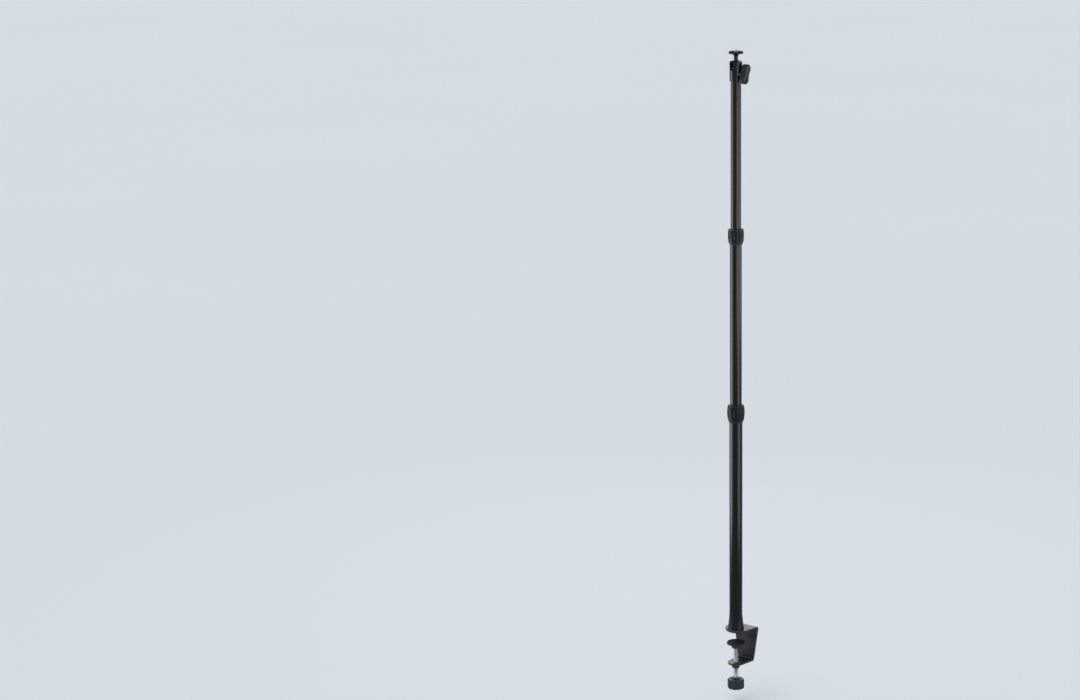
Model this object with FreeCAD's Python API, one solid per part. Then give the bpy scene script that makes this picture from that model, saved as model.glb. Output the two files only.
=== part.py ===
import FreeCAD, Part
import math
import os

# A telescoping pole that stands on a screw clamp and carries a small ball head.
# Millimetres. +Z is up and the origin is where the pole's axis meets the face of the
# upper jaw's pad. +Y points to the clamp's spine. The head's knob is on the +X side
# and its drop notch faces -Y.

Vector = FreeCAD.Vector
X_AXIS = Vector(1, 0, 0)
Y_AXIS = Vector(0, 1, 0)
Z_AXIS = Vector(0, 0, 1)

# Clamp frame, one bent steel plate
plate_thickness = 4.0
bend_inner_radius = 2.0
tongue_front = 19.0
tongue_nose_radius = 28.0
tongue_spread = 3.0
throat = 35.5
arm_nose_radius = 17.0
arm_spread = 3.0
plate_edge_round = 0.8

# Jaw: the gap between its pads, as set here and at both ends of the screw's travel
jaw_gap = 25.0
jaw_gap_closed = 4.0
jaw_gap_open = 55.0
jaw_pad_thickness = 1.5
jaw_pad_inset = 1.2
pressure_pad_thickness = 2.0
pressure_pad_inset = 0.7
pressure_plate_radius = 19.5
pressure_plate_thickness = 3.0
pressure_plate_chamfer = 1.0
socket_wall = 3.85
socket_roof = 1.0
retainer_thickness = 1.5

# Clamp screw, its nut under the arm, and its knob
screw_major_radius = 5.0
screw_pitch = 1.5
screw_thread_depth = 0.8
screw_ball_radius = 5.0
screw_neck_radius = 3.6
screw_neck_length = 4.0
screw_end_radius = 4.0
screw_end_length = 18.0
nut_width = 15.6
nut_height = 9.0
nut_chamfer = 0.9
knob_radius = 18.0
knob_height = 21.0
knob_flutes = 8
knob_flute_radius = 5.0
knob_flute_depth = 2.5
knob_edge_round = 3.0
knob_neck_radius = 10.0
knob_neck_height = 3.0
knob_cap_radius = 9.0
knob_cap_thickness = 1.6
knob_cap_chamfer = 0.5
knob_pin_radius = 1.5
knob_pin_length = 19.0
knob_pin_depth = 8.0

# Foot that carries the pole
foot_flare = 3.7
foot_height = 33.0
foot_waist_inset = 0.35
spigot_length = 39.0
spigot_chamfer = 1.0
foot_bore_radius = 6.0
foot_bore_roof = 8.0
foot_bolt_count = 3
foot_bolt_edge = 6.7
foot_bolt_radius = 2.0
foot_bolt_head_radius = 4.0
foot_bolt_head_height = 2.2
foot_bolt_length = 12.0
foot_bolt_socket_width = 2.5
foot_bolt_socket_depth = 1.6
grub_radius = 2.0
grub_length = 7.0
grub_above_tube_end = 19.0
grub_socket_width = 2.0
grub_socket_depth = 2.0

# Telescoping tubes, each one nested in the one below it
lower_tube_radius = 14.0
tube_wall = 0.9
tube_gap = 0.6
lower_tube_length = 441.5
middle_tube_length = 425.0
top_tube_length = 367.2
middle_skirt = 44.7
top_skirt = 39.7
guide_ring_height = 3.5
guide_spigot_length = 10.0
guide_spigot_wall = 1.2

# Twist locks: reach below and above the top end of the tube that each one stands on,
# and how far the grip's bottom, middle and top stand out from the collar's core
lower_lock_below = 15.6
lower_lock_above = 22.6
lower_grip_steps = (0.25, 2.1, 0.45)
lower_collet_height = 14.0
upper_lock_below = 12.6
upper_lock_above = 20.7
upper_grip_steps = (0.65, 1.85, 0.95)
upper_collet_height = 12.2
sleeve_wall = 1.3
sleeve_lip = 2.0
sleeve_thread_pitch = 1.5
sleeve_thread_depth = 0.5
collar_wall = 1.2
collar_lip_height = 4.4
collar_foot_wall = 0.6
collar_foot_height = 5.6
collar_foot_bulge = 0.15
collar_ring_height = 2.4
collar_ring_round = 2.0
collar_ring_inset = 0.3
grip_flutes = 10
grip_flute_radius = 4.0
grip_flute_depth = 1.15
collet_foot_height = 2.0
collet_taper = 1.1
collet_slit = 1.6
collet_slots = 3

# Ball head, from its stud up
cap_flange = 2.0
cap_plug_length = 14.0
stud_radius = 4.76
stud_pitch = 1.6
stud_thread_depth = 0.7
stud_below = 10.0
stud_above = 8.8
stud_roof = 2.8
cup_floor = 0.8
cup_groove_radius = 3.4
cup_groove_depth = 3.6
cup_below_notch = 0.6
lock_screw_below_ball_bottom = 2.0
ball_radius = 10.0
ball_flat_radius = 4.7
head_above_ball = 13.5
head_wall = 1.5
head_edge_round = 0.8
ring_wall = 1.6
ring_rim = 1.2
ring_flange_height = 2.7
seat_bottom_above_ball = 3.5
seat_lip_height = 1.5
tilt_back_angle = 25.0
notch_width = 10.6

# Lock screw and wing knob on the head's side
lock_screw_radius = 3.0
lock_screw_pitch = 1.0
lock_screw_thread_depth = 0.5
lock_screw_tip_radius = 1.8
lock_screw_tip_inset = 1.2
boss_radius = 6.4
boss_length = 2.5
wing_neck = 1.2
wing_hub_radius = 6.6
wing_thickness = 11.4
wing_length = 41.6
wing_lobe_radius = 9.4
wing_waist_inset = 1.3
wing_turn = -18.0
wing_edge_round = 1.6
wing_screw_depth = 6.5
wing_cap_radius = 4.4
wing_cap_thickness = 1.2
wing_cap_sink = 0.2

# Stem, camera platform and camera screw
stem_radius = 4.5
stem_length = 15.2
stem_shank_radius = 3.0
stem_shank_length = 10.0
stem_shank_gap = 0.5
trumpet_height = 6.2
trumpet_radius = 12.6
trumpet_bend = (2.9, 3.5)
platform_rim = 2.9
platform_height = 3.0
platform_recess = 1.4
platform_edge = 0.8
platform_knurls = 48
platform_knurl_radius = 0.5
platform_knurl_depth = 0.3
platform_pad_height = 1.4
platform_pad_inset = 1.0
platform_pad_bore_gap = 0.4
camera_screw_radius = 3.175
camera_screw_pitch = 1.27
camera_screw_thread_depth = 0.6
camera_screw_reach = 5.0
camera_screw_chamfer = 0.5
camera_screw_root = 10.0
camera_screw_washer_radius = 5.2

# Clearances
running_clearance = 0.15
sliding_clearance = 0.1
bolt_clearance = 0.05
seat_clearance = 0.05
ball_clearance = 0.15
cavity_clearance = 0.4
screw_clearance = 0.15
retainer_clearance = 0.3
socket_float = 0.38
collar_clearance = 0.3
collet_gap = 0.2
bore_clearance = 0.02
arm_hole_clearance = 0.5
stem_clearance = 0.3
stop_gap = 0.3
wing_gap = 0.4
plate_to_arm_gap = 2.0
knob_to_nut_gap = 1.5

# How far a cutting shape runs past what it cuts, and how near two points are to be one
overrun = 1.0
SAME_POINT = 1e-6

# Radii that follow from the sizes above
tongue_half_width = tongue_nose_radius + tongue_spread
arm_half_width = arm_nose_radius + arm_spread
bend_outer_radius = bend_inner_radius + plate_thickness
socket_radius = screw_ball_radius + running_clearance
socket_boss_radius = socket_radius + socket_wall
screw_ball_dip = math.sqrt(screw_ball_radius ** 2 - screw_neck_radius ** 2)
foot_base_radius = lower_tube_radius + foot_flare
foot_bolt_circle = foot_base_radius - foot_bolt_edge
middle_tube_radius = lower_tube_radius - tube_wall - tube_gap
top_tube_radius = middle_tube_radius - tube_wall - tube_gap
cavity_radius = ball_radius + cavity_clearance
cup_radius = cavity_radius - ball_clearance
seat_radius = ball_radius + ball_clearance
ring_radius = cavity_radius + ring_wall
tilt_slope = math.tan(math.radians(tilt_back_angle))
stem_sweep = stem_radius / math.cos(math.radians(tilt_back_angle)) + stem_clearance
ring_mouth_radius = head_above_ball * tilt_slope + stem_sweep
head_radius = max(ring_radius + head_wall, ring_mouth_radius + ring_rim)
boss_reach = head_radius + boss_length
wing_hub_start = boss_reach + wing_gap
wing_inner = wing_hub_start + wing_neck
wing_outer = wing_inner + wing_thickness
platform_radius = trumpet_radius + platform_rim

# Heights that follow, from the upper pad's face down
jaw_face = -jaw_gap
pressure_plate_top = jaw_face - pressure_pad_thickness
pressure_plate_bottom = pressure_plate_top - pressure_plate_thickness
screw_ball_z = pressure_plate_top - socket_roof - socket_radius
socket_bottom = screw_ball_z - screw_ball_dip - socket_float
retainer_bottom = socket_bottom - retainer_thickness
arm_top = retainer_bottom - (jaw_gap_open - jaw_gap) - plate_to_arm_gap
arm_bottom = arm_top - plate_thickness
nut_bottom = arm_bottom - nut_height
knob_top = nut_bottom - (jaw_gap - jaw_gap_closed) - knob_to_nut_gap
knob_shoulder = knob_top - knob_neck_height
knob_bottom = knob_top - knob_neck_height - knob_height
knob_pin_z = knob_shoulder - knob_pin_depth
spine_outer = throat + plate_thickness

# Heights that follow, from the upper pad's face up
plate_bottom = jaw_pad_thickness
plate_top = plate_bottom + plate_thickness
lower_tube_bottom = plate_top + foot_height
lower_tube_top = lower_tube_bottom + lower_tube_length
middle_tube_bottom = lower_tube_top - stop_gap - middle_skirt
middle_tube_top = middle_tube_bottom + middle_tube_length
top_tube_bottom = middle_tube_top - stop_gap - top_skirt
top_tube_top = top_tube_bottom + top_tube_length
head_bottom = top_tube_top + cap_flange
stud_top = head_bottom + stud_above
cavity_floor = stud_top + stud_roof
lock_screw_z = cavity_floor + cup_floor + cup_groove_radius
ball_z = lock_screw_z + lock_screw_below_ball_bottom + ball_radius
head_top = ball_z + head_above_ball
flange_bottom = head_top - ring_flange_height
ring_bottom = ball_z + seat_bottom_above_ball
ball_flat_z = ball_z + math.sqrt(ball_radius ** 2 - ball_flat_radius ** 2)
stem_bottom = ball_flat_z + seat_clearance
shank_bottom = stem_bottom - stem_shank_length
stem_top = stem_bottom + stem_length
trumpet_top = stem_top + trumpet_height
platform_bottom = trumpet_top - platform_recess
platform_top = platform_bottom + platform_height
pad_top = platform_top + platform_pad_height
camera_screw_top = pad_top + camera_screw_reach
camera_screw_bottom = pad_top - camera_screw_root

NODES = {}


def node(function):
    """Register a function that makes one named piece."""
    NODES[function.__name__] = function
    return function


def cylinder(radius, bottom, top):
    """An upright cylinder on the pole's axis."""
    return Part.makeCylinder(radius, top - bottom, Vector(0, 0, bottom))


def cylinder_x(radius, start, end, height):
    """A cylinder along +X at a height, across the pole's axis."""
    return Part.makeCylinder(radius, end - start, Vector(start, 0, height), X_AXIS)


def cylinder_y(radius, start, end, height):
    """A cylinder along +Y at a height, across the pole's axis."""
    return Part.makeCylinder(radius, end - start, Vector(0, start, height), Y_AXIS)


def pipe(outer_radius, inner_radius, bottom, top):
    """An upright pipe on the pole's axis."""
    return cylinder(outer_radius, bottom, top).cut(cylinder(inner_radius, bottom, top))


def profile_edges(points, to_space):
    """The edges of a closed profile of flat points. A point marked "arc" is the middle of an arc."""
    edges = []
    start = points[0]
    middle = None
    for point in points[1:] + points[:1]:
        if len(point) == 3:
            middle = point
            continue
        if middle:
            edges.append(Part.Arc(to_space(start), to_space(middle), to_space(point)).toShape())
            middle = None
        else:
            edges.append(Part.LineSegment(to_space(start), to_space(point)).toShape())
        start = point
    return edges


def turned(points):
    """Turn a closed profile of (radius, height) points about the pole's axis."""
    edges = profile_edges(points, lambda point: Vector(point[0], 0, point[1]))
    return Part.Face(Part.Wire(edges)).revolve(Vector(0, 0, 0), Z_AXIS, 360)


def turned_x(points, height):
    """Turn a closed profile of (radius, x) points about an axis along +X at a height."""
    shape = turned(points)
    shape.rotate(Vector(0, 0, 0), Y_AXIS, 90)
    shape.translate(Vector(0, 0, height))
    return shape


def prism(points, bottom, top):
    """Extrude a closed outline of (x, y) points between two heights."""
    edges = profile_edges(points, lambda point: Vector(point[0], point[1], bottom))
    return Part.Face(Part.Wire(edges)).extrude(Vector(0, 0, top - bottom))


def hexagon(width, bottom, top):
    """An upright hexagonal prism on the pole's axis, given its width across the flats."""
    corners = [(corner.x, corner.y) for corner in around(6, width / math.sqrt(3))]
    return prism(corners, bottom, top)


def round_corner(corner, size, before, after):
    """The three profile points that round a corner, given the unit steps back along each side."""
    bulge = size * (1 - math.sqrt(0.5))
    first = (corner[0] + before[0] * size, corner[1] + before[1] * size)
    middle = (corner[0] + (before[0] + after[0]) * bulge, corner[1] + (before[1] + after[1]) * bulge, "arc")
    last = (corner[0] + after[0] * size, corner[1] + after[1] * size)
    return [first, middle, last]


def threads(crest_radius, depth, pitch, bottom, top):
    """Profile points of a threaded rod from the bottom up: V ridges at the thread's pitch."""
    root = crest_radius - depth
    turns = int((top - bottom) / pitch)
    lead = (top - bottom - turns * pitch) / 2
    points = [(root, bottom)]
    for turn in range(turns):
        base = bottom + lead + turn * pitch
        points.append((root, base))
        points.append((crest_radius, base + pitch / 2))
    points.append((root, top - lead))
    points.append((root, top))
    return without_repeats(points)


def without_repeats(points):
    """The points with each one that repeats the one before it left out."""
    kept = [points[0]]
    for point in points[1:]:
        if math.dist(point, kept[-1]) > SAME_POINT:
            kept.append(point)
    return kept


def around(count, radius, turn=0.0):
    """Points spread evenly on a circle about the pole's axis."""
    for index in range(count):
        angle = math.radians(turn + index * 360 / count)
        yield Vector(radius * math.cos(angle), radius * math.sin(angle), 0)


def copies(shape, places):
    """A copy of a shape moved to each place, as one compound."""
    moved = []
    for place in places:
        copy = shape.copy()
        copy.translate(place)
        moved.append(copy)
    return Part.makeCompound(moved)


def bolt_places():
    return around(foot_bolt_count, foot_bolt_circle, 90)


def bolt(grow):
    """A countersunk bolt on the pole's axis from its flat head up, grown all round by a clearance."""
    top = plate_bottom + foot_bolt_length + grow
    return turned([
        (0, plate_bottom),
        (foot_bolt_head_radius + grow, plate_bottom),
        (foot_bolt_radius + grow, plate_bottom + foot_bolt_head_height),
        (foot_bolt_radius + grow, top),
        (0, top),
    ])


def tongue_outline(inset, back):
    """The tongue's outline: a round nose, and sides that spread towards the spine."""
    radius = tongue_nose_radius - inset
    centre = tongue_nose_radius - tongue_front
    half_back = tongue_half_width - inset
    return [
        (-radius, centre),
        (0, centre - radius, "arc"),
        (radius, centre),
        (half_back, back),
        (-half_back, back),
    ]


def arm_outline():
    """The lower arm's outline: a nose round the screw's axis, and sides that spread to the spine."""
    slope = math.atan2(arm_spread, spine_outer)
    side_x = arm_nose_radius * math.cos(slope)
    side_y = -arm_nose_radius * math.sin(slope)
    return [
        (-side_x, side_y),
        (0, -arm_nose_radius, "arc"),
        (side_x, side_y),
        (arm_half_width, spine_outer),
        (-arm_half_width, spine_outer),
    ]


def spine_outline():
    """The spine's outline from behind, as (x, height): it narrows between its two bends."""
    upper = plate_bottom - bend_inner_radius
    lower = arm_top + bend_inner_radius
    return [
        (-tongue_half_width, plate_top + overrun),
        (tongue_half_width, plate_top + overrun),
        (tongue_half_width, upper),
        (arm_half_width, lower),
        (arm_half_width, arm_bottom - overrun),
        (-arm_half_width, arm_bottom - overrun),
        (-arm_half_width, lower),
        (-tongue_half_width, upper),
    ]


def bent_strip():
    """The frame's C section with both bends, swept across its full width."""
    front = -max(tongue_front, arm_nose_radius) - overrun
    inner = bend_inner_radius
    outer = bend_outer_radius
    ahead, back = (-1, 0), (1, 0)
    down, up = (0, -1), (0, 1)
    outline = [(front, plate_top)]
    outline += round_corner((spine_outer, plate_top), outer, ahead, down)
    outline += round_corner((spine_outer, arm_bottom), outer, up, ahead)
    outline += [(front, arm_bottom), (front, arm_top)]
    outline += round_corner((throat, arm_top), inner, ahead, up)
    outline += round_corner((throat, plate_bottom), inner, down, ahead)
    outline += [(front, plate_bottom)]
    edges = profile_edges(outline, lambda point: Vector(-tongue_half_width, point[0], point[1]))
    return Part.Face(Part.Wire(edges)).extrude(Vector(2 * tongue_half_width, 0, 0))


@node
def clamp_frame():
    bend_start = spine_outer - bend_outer_radius
    tongue = prism(tongue_outline(0, bend_start), plate_bottom - overrun, plate_top)
    rim = [
        edge for edge in tongue.Edges
        if edge.BoundBox.ZMin > plate_top - SAME_POINT and edge.CenterOfMass.y < bend_start - SAME_POINT
    ]
    tongue = tongue.makeFillet(plate_edge_round, rim)
    arm = prism(arm_outline(), arm_bottom - overrun, arm_top + overrun)
    edges = profile_edges(spine_outline(), lambda point: Vector(point[0], bend_start, point[1]))
    spine = Part.Face(Part.Wire(edges)).extrude(Vector(0, bend_outer_radius + overrun, 0))
    shape = bent_strip().common(tongue.fuse(spine).fuse(arm))
    screw_hole = screw_major_radius + arm_hole_clearance
    shape = shape.cut(cylinder(screw_hole, arm_bottom - overrun, arm_top + overrun))
    return shape.cut(copies(bolt(bolt_clearance), bolt_places()))


@node
def foot_bolts():
    socket = hexagon(foot_bolt_socket_width, plate_bottom, plate_bottom + foot_bolt_socket_depth)
    return copies(bolt(0).cut(socket), bolt_places())


@node
def upper_jaw_pad():
    return prism(tongue_outline(jaw_pad_inset, throat - bend_inner_radius), 0, plate_bottom)


@node
def screw_nut():
    corner = nut_width / math.sqrt(3)
    chamfered = turned([
        (0, nut_bottom),
        (corner - nut_chamfer * math.sqrt(3), nut_bottom),
        (corner + overrun, nut_bottom + nut_chamfer + overrun / math.sqrt(3)),
        (corner + overrun, arm_bottom),
        (0, arm_bottom),
    ])
    bore = cylinder(screw_major_radius + screw_clearance, nut_bottom, arm_bottom)
    return hexagon(nut_width, nut_bottom, arm_bottom).common(chamfered).cut(bore)


@node
def pressure_pad():
    return cylinder(pressure_plate_radius - pressure_pad_inset, pressure_plate_top, jaw_face)


@node
def pressure_plate():
    plate = turned([
        (0, socket_bottom),
        (socket_boss_radius, socket_bottom),
        (socket_boss_radius, pressure_plate_bottom),
        (pressure_plate_radius - pressure_plate_chamfer, pressure_plate_bottom),
        (pressure_plate_radius, pressure_plate_bottom + pressure_plate_chamfer),
        (pressure_plate_radius, pressure_plate_top),
        (0, pressure_plate_top),
    ])
    socket = cylinder(socket_radius, socket_bottom, screw_ball_z)
    dome = Part.makeSphere(socket_radius, Vector(0, 0, screw_ball_z))
    return plate.cut(socket.fuse(dome))


@node
def plate_retainer():
    return pipe(socket_boss_radius, screw_neck_radius + retainer_clearance, retainer_bottom, socket_bottom)


@node
def clamp_screw():
    thread_top = socket_bottom - screw_neck_length
    end = knob_shoulder - screw_end_length
    profile = [(0, end), (screw_end_radius, end), (screw_end_radius, knob_top)]
    profile += threads(screw_major_radius, screw_thread_depth, screw_pitch, knob_top, thread_top)
    profile += [
        (screw_neck_radius, thread_top),
        (screw_neck_radius, screw_ball_z - screw_ball_dip),
        (screw_ball_radius, screw_ball_z, "arc"),
        (0, screw_ball_z + screw_ball_radius),
    ]
    return turned(profile).cut(knob_pin_hole())


def knob_pin_hole():
    """The clamp knob's cross pin, which is also the hole that it fills."""
    return cylinder_x(knob_pin_radius, -knob_pin_length / 2, knob_pin_length / 2, knob_pin_z)


@node
def clamp_knob_pin():
    return knob_pin_hole()


@node
def clamp_knob():
    inward, down, up = (-1, 0), (0, -1), (0, 1)
    outline = [(0, knob_bottom)]
    outline += round_corner((knob_radius, knob_bottom), knob_edge_round, inward, up)
    outline += round_corner((knob_radius, knob_shoulder), knob_edge_round, down, inward)
    outline += [(knob_neck_radius, knob_shoulder), (knob_neck_radius, knob_top), (0, knob_top)]
    flute = cylinder(knob_flute_radius, knob_bottom - overrun, knob_shoulder + overrun)
    flute_circle = knob_radius + knob_flute_radius - knob_flute_depth
    shape = turned(outline).cut(copies(flute, around(knob_flutes, flute_circle)))
    bore = screw_end_radius + bore_clearance
    shape = shape.cut(cylinder(bore, knob_bottom - overrun, knob_top + overrun))
    shape = shape.cut(cylinder(knob_cap_radius, knob_bottom - overrun, knob_bottom + knob_cap_thickness))
    return shape.cut(knob_pin_hole())


@node
def clamp_knob_cap():
    return turned([
        (0, knob_bottom),
        (knob_cap_radius - knob_cap_chamfer, knob_bottom),
        (knob_cap_radius, knob_bottom + knob_cap_chamfer),
        (knob_cap_radius, knob_bottom + knob_cap_thickness),
        (0, knob_bottom + knob_cap_thickness),
    ])


def grub_hole():
    """The hole for the grub screw, through the tube's wall and into the foot's spigot at the back."""
    height = lower_tube_bottom + grub_above_tube_end
    return cylinder_y(grub_radius, lower_tube_radius - grub_length, lower_tube_radius + overrun, height)


@node
def pole_foot():
    spigot = lower_tube_radius - tube_wall - seat_clearance
    spigot_top = lower_tube_bottom + spigot_length
    middle_radius = (foot_base_radius + lower_tube_radius) / 2 - foot_waist_inset
    shape = turned([
        (0, plate_top),
        (foot_base_radius, plate_top),
        (middle_radius, plate_top + foot_height / 2, "arc"),
        (lower_tube_radius, lower_tube_bottom),
        (spigot, lower_tube_bottom),
        (spigot, spigot_top - spigot_chamfer),
        (spigot - spigot_chamfer, spigot_top),
        (0, spigot_top),
    ])
    bore_bottom = plate_bottom + foot_bolt_length + foot_bore_roof
    shape = shape.cut(cylinder(foot_bore_radius, bore_bottom, spigot_top + overrun))
    shape = shape.cut(copies(bolt(bolt_clearance), bolt_places()))
    return shape.cut(grub_hole())


@node
def foot_grub_screw():
    height = lower_tube_bottom + grub_above_tube_end
    screw = cylinder_y(grub_radius, lower_tube_radius - grub_length, lower_tube_radius, height)
    socket = hexagon(grub_socket_width, lower_tube_radius - grub_socket_depth, lower_tube_radius + overrun)
    socket.rotate(Vector(0, 0, 0), X_AXIS, -90)
    socket.translate(Vector(0, 0, height))
    return screw.cut(socket)


@node
def lower_tube():
    inner = lower_tube_radius - tube_wall
    return pipe(lower_tube_radius, inner, lower_tube_bottom, lower_tube_top).cut(grub_hole())


@node
def middle_tube():
    return pipe(middle_tube_radius, middle_tube_radius - tube_wall, middle_tube_bottom, middle_tube_top)


@node
def top_tube():
    return pipe(top_tube_radius, top_tube_radius - tube_wall, top_tube_bottom, top_tube_top)


def guide(tube_radius, outer_tube_radius, tube_bottom, skirt):
    """The slide bush on a tube's lower end: a thin skirt outside, a ring below, a spigot inside."""
    outside = outer_tube_radius - tube_wall - running_clearance
    spigot = tube_radius - tube_wall
    bore = spigot - guide_spigot_wall
    bottom = tube_bottom - guide_ring_height
    return turned([
        (bore, bottom),
        (outside, bottom),
        (outside, tube_bottom + skirt),
        (tube_radius, tube_bottom + skirt),
        (tube_radius, tube_bottom),
        (spigot, tube_bottom),
        (spigot, tube_bottom + guide_spigot_length),
        (bore, tube_bottom + guide_spigot_length),
    ])


@node
def middle_tube_guide():
    return guide(middle_tube_radius, lower_tube_radius, middle_tube_bottom, middle_skirt)


@node
def top_tube_guide():
    return guide(top_tube_radius, middle_tube_radius, top_tube_bottom, top_skirt)


class TwistLock:
    """One twist lock, which stands on the top end of the wider of the two tubes that it joins."""

    def __init__(self, outer_tube, inner_tube, tube_top, reach, grip_steps, collet_height):
        below, above = reach
        self.outer_tube = outer_tube
        self.inner_tube = inner_tube
        self.tube_top = tube_top
        self.bottom = tube_top - below
        self.top = tube_top + above
        self.sleeve_radius = outer_tube + sleeve_wall
        self.bore = self.sleeve_radius + screw_clearance
        self.core_radius = self.bore + collar_wall
        self.grip_radii = [self.core_radius + step for step in grip_steps]
        self.lip_radius = outer_tube + collar_clearance
        self.lip_top = self.bottom + collar_lip_height
        self.sleeve_top = tube_top + sleeve_lip
        self.collet_bottom = self.sleeve_top + collet_gap
        self.collet_foot_top = self.collet_bottom + collet_foot_height
        self.collet_top = self.collet_bottom + collet_height
        self.collet_radius = self.sleeve_radius - 2 * collet_gap
        self.grip_bottom = self.bottom + collar_foot_height
        self.grip_top = self.top - collar_ring_height

    def sleeve(self):
        """The threaded sleeve bonded on the wider tube, with a lip that also stops the guide."""
        bottom = self.lip_top + collet_gap
        stop_bore = self.inner_tube + running_clearance
        profile = [(self.outer_tube, bottom)]
        profile += threads(
            self.sleeve_radius, sleeve_thread_depth, sleeve_thread_pitch, bottom, self.sleeve_top)
        profile += [
            (stop_bore, self.sleeve_top),
            (stop_bore, self.tube_top),
            (self.outer_tube, self.tube_top),
        ]
        return turned(profile)

    def collet(self):
        """The split taper ring that the collar squeezes onto the inner tube."""
        bore = self.inner_tube + sliding_clearance
        shape = turned([
            (bore, self.collet_bottom),
            (self.collet_radius, self.collet_bottom),
            (self.collet_radius, self.collet_foot_top),
            (self.collet_radius - collet_taper, self.collet_top),
            (bore, self.collet_top),
        ])
        length = self.collet_radius + overrun
        height = self.collet_top - self.collet_bottom + overrun
        side = -collet_slit / 2
        through = Vector(0, side, self.collet_bottom - overrun)
        above_foot = Vector(0, side, self.collet_foot_top)
        shape = shape.cut(Part.makeBox(length, collet_slit, height + overrun, through))
        for index in range(1, collet_slots + 1):
            slot = Part.makeBox(length, collet_slit, height, above_foot)
            slot.rotate(Vector(0, 0, 0), Z_AXIS, index * 360 / (collet_slots + 1))
            shape = shape.cut(slot)
        return shape

    def collar(self):
        """The twist collar: a lip round the wider tube, a threaded bore, and an inner taper."""
        mouth = self.inner_tube + collar_clearance
        ring = self.grip_radii[2] - collar_ring_inset
        foot = self.lip_radius + collar_foot_wall
        foot_top = self.grip_radii[0] - collar_ring_inset / 2
        foot_middle = (foot + foot_top) / 2 + collar_foot_bulge
        taper_top = self.collet_top + collar_clearance
        profile = [
            (self.lip_radius, self.bottom),
            (foot, self.bottom),
            (foot_middle, (self.bottom + self.grip_bottom) / 2, "arc"),
            (foot_top, self.grip_bottom),
            (self.core_radius, self.grip_bottom),
            (self.core_radius, self.grip_top),
            (ring, self.grip_top),
        ]
        profile += round_corner((ring, self.top), collar_ring_round, (0, -1), (-1, 0))
        profile += [
            (mouth, self.top),
            (mouth, taper_top),
            (self.collet_radius - collet_taper + collar_clearance, taper_top),
            (self.bore, self.collet_foot_top),
            (self.bore, self.lip_top),
            (self.lip_radius, self.lip_top),
        ]
        return turned(profile)

    def grip(self):
        """The rubber grip: a barrel with shallow flutes."""
        bottom_radius, middle_radius, top_radius = self.grip_radii
        shape = turned([
            (self.core_radius, self.grip_bottom),
            (bottom_radius, self.grip_bottom),
            (middle_radius, (self.grip_bottom + self.grip_top) / 2, "arc"),
            (top_radius, self.grip_top),
            (self.core_radius, self.grip_top),
        ])
        flute = cylinder(grip_flute_radius, self.grip_bottom - overrun, self.grip_top + overrun)
        flute_circle = middle_radius + grip_flute_radius - grip_flute_depth
        return shape.cut(copies(flute, around(grip_flutes, flute_circle)))


lower_lock = TwistLock(
    lower_tube_radius, middle_tube_radius, lower_tube_top,
    (lower_lock_below, lower_lock_above), lower_grip_steps, lower_collet_height)
upper_lock = TwistLock(
    middle_tube_radius, top_tube_radius, middle_tube_top,
    (upper_lock_below, upper_lock_above), upper_grip_steps, upper_collet_height)

for lock_name, lock in (("lower_lock", lower_lock), ("upper_lock", upper_lock)):
    NODES[lock_name + "_sleeve"] = lock.sleeve
    NODES[lock_name + "_collet"] = lock.collet
    NODES[lock_name + "_collar"] = lock.collar
    NODES[lock_name + "_grip"] = lock.grip


@node
def top_tube_cap():
    plug = top_tube_radius - tube_wall
    shape = turned([
        (0, top_tube_top - cap_plug_length),
        (plug, top_tube_top - cap_plug_length),
        (plug, top_tube_top),
        (top_tube_radius, top_tube_top),
        (top_tube_radius, head_bottom),
        (0, head_bottom),
    ])
    return shape.cut(cylinder(stud_radius, head_bottom - stud_below, head_bottom + overrun))


@node
def head_stud():
    bottom = head_bottom - stud_below
    profile = [(0, stud_top), (0, bottom)]
    profile += threads(stud_radius, stud_thread_depth, stud_pitch, bottom, stud_top)
    return turned(profile)


def drop_notch():
    """The slot that the stem drops into: open at the top, round at the ball's centre."""
    half = notch_width / 2
    front = -head_radius - overrun
    slot = Part.makeBox(notch_width, -front, head_top + overrun - ball_z, Vector(-half, front, ball_z))
    return slot.fuse(cylinder_y(half, front, 0, ball_z))


@node
def head_housing():
    shape = turned([
        (0, head_bottom),
        (head_radius - head_edge_round, head_bottom),
        (head_radius, head_bottom + head_edge_round),
        (head_radius, flange_bottom),
        (0, flange_bottom),
    ])
    shape = shape.fuse(cylinder_x(boss_radius, 0, boss_reach, lock_screw_z))
    shape = shape.cut(cylinder(cavity_radius, cavity_floor, flange_bottom + overrun))
    shape = shape.cut(cylinder(ring_radius, ring_bottom, flange_bottom + overrun))
    shape = shape.cut(cylinder(stud_radius, head_bottom - overrun, stud_top))
    screw_hole = lock_screw_radius + screw_clearance
    shape = shape.cut(cylinder_x(screw_hole, 0, boss_reach + overrun, lock_screw_z))
    return shape.cut(drop_notch()).removeSplitter()


def ring_lip_height():
    """Height above the ball's centre at which the ring's seat ends, so that its lip just clears the stem.

    The lip is seat_lip_height tall and as wide as the tilted stem needs at its top.
    """
    rise = seat_lip_height * tilt_slope + stem_sweep
    square = 1 + tilt_slope ** 2
    root = math.sqrt((tilt_slope * rise) ** 2 - square * (rise ** 2 - seat_radius ** 2))
    return (root - tilt_slope * rise) / square


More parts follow.
